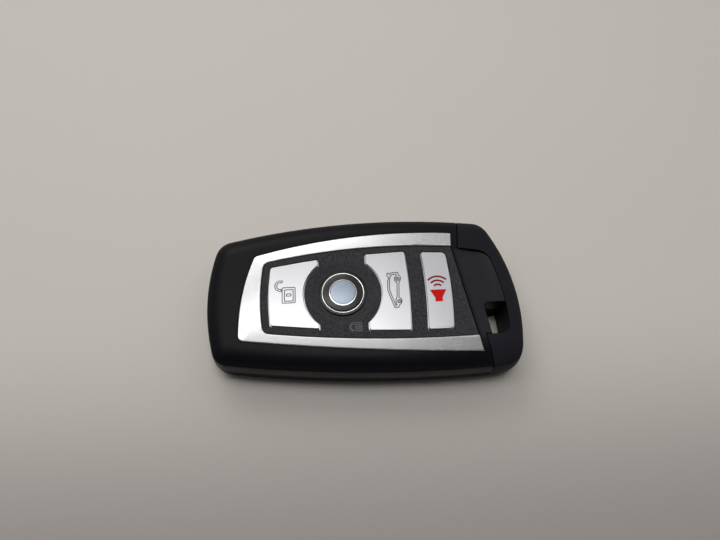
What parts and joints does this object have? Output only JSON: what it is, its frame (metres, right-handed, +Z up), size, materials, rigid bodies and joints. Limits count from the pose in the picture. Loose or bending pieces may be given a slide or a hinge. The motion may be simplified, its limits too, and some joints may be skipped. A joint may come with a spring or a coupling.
{
  "type": "car key fob",
  "caption": "Bowed car key fob: silver-framed keypad of press buttons, battery cover in the back, and a pull-out emergency key whose head closes round the key-ring hole.",
  "frame": {"origin": "middle of the fob's box, on the back face that it lies on", "axes": "+X along the fob to the key head, +Y to its far flank, +Z up out of the keypad"},
  "size_m": [0.0808, 0.0426, 0.0128],
  "materials": {
    "casing_black": "satin moulded black",
    "back_black": "fine-grained moulded black",
    "black_rubber": "matt",
    "trim_metal": "satin pearl",
    "panel_charcoal": "fine-grained matt",
    "cap_silver": "satin silver paint",
    "gloss_black": "gloss",
    "bright_ring": "polished",
    "switch_grey": "moulded",
    "board_green": "solder-masked",
    "chip_black": "moulded",
    "capacitor_tan": "fired",
    "ferrite": "sintered",
    "copper_wire": "enamelled",
    "cell_steel": "plated",
    "contact_strip": "plated",
    "blade_steel": "milled"
  },
  "bodies": {
    "casing": {"upper_casing": "casing_black", "lower_casing": "casing_black", "cover_seal": "black_rubber", "bezel_trim": "trim_metal", "button_panel": "panel_charcoal", "keypad_mat": "black_rubber", "circuit_board": "board_green", "switch_bodies": "switch_grey", "controller_chip": "chip_black", "radio_chip": "chip_black", "crystal": "cell_steel", "capacitors": "capacitor_tan", "coil_core": "ferrite", "coil_winding": "copper_wire", "coin_cell": "cell_steel", "contact_plus": "contact_strip", "contact_minus": "contact_strip", "latch_spring": "blade_steel"},
    "unlock_button": {"unlock_cap": "cap_silver", "unlock_plunger": "switch_grey"},
    "lock_button": {"lock_cap": "gloss_black", "badge_ring": "bright_ring", "badge_dome": "gloss_black", "lock_plunger": "switch_grey"},
    "boot_button": {"boot_cap": "cap_silver", "boot_plunger": "switch_grey"},
    "panic_button": {"panic_cap": "cap_silver", "panic_plunger": "switch_grey"},
    "emergency_key": {"key_head": "casing_black", "key_blade": "blade_steel"},
    "release": {"release_button": "back_black"},
    "cover": {"battery_cover": "back_black"}
  },
  "joints": [
    {"name": "unlock_press", "type": "slide", "parent": "casing", "child": "unlock_button", "axis": [0, 0, -1], "range_m": [0, 0.0005], "stiffness_N_per_m": 3000},
    {"name": "lock_press", "type": "slide", "parent": "casing", "child": "lock_button", "axis": [0, 0, -1], "range_m": [0, 0.0005], "stiffness_N_per_m": 3000},
    {"name": "boot_press", "type": "slide", "parent": "casing", "child": "boot_button", "axis": [0, 0, -1], "range_m": [0, 0.0005], "stiffness_N_per_m": 3000},
    {"name": "panic_press", "type": "slide", "parent": "casing", "child": "panic_button", "axis": [0, 0, -1], "range_m": [0, 0.0005], "stiffness_N_per_m": 3000},
    {"name": "key_slide", "type": "slide", "parent": "casing", "child": "emergency_key", "axis": [1, 0, 0], "range_m": [0, 0.047], "deforming": ["latch_spring"]},
    {"name": "release_press", "type": "slide", "parent": "casing", "child": "release", "axis": [0, 0, 1], "range_m": [0, 0.0005], "stiffness_N_per_m": 3000, "deforming": ["latch_spring"]},
    {"name": "cover_lift", "type": "slide", "parent": "casing", "child": "cover", "axis": [0, 0, -1], "range_m": [0, 0.012]}
  ]
}
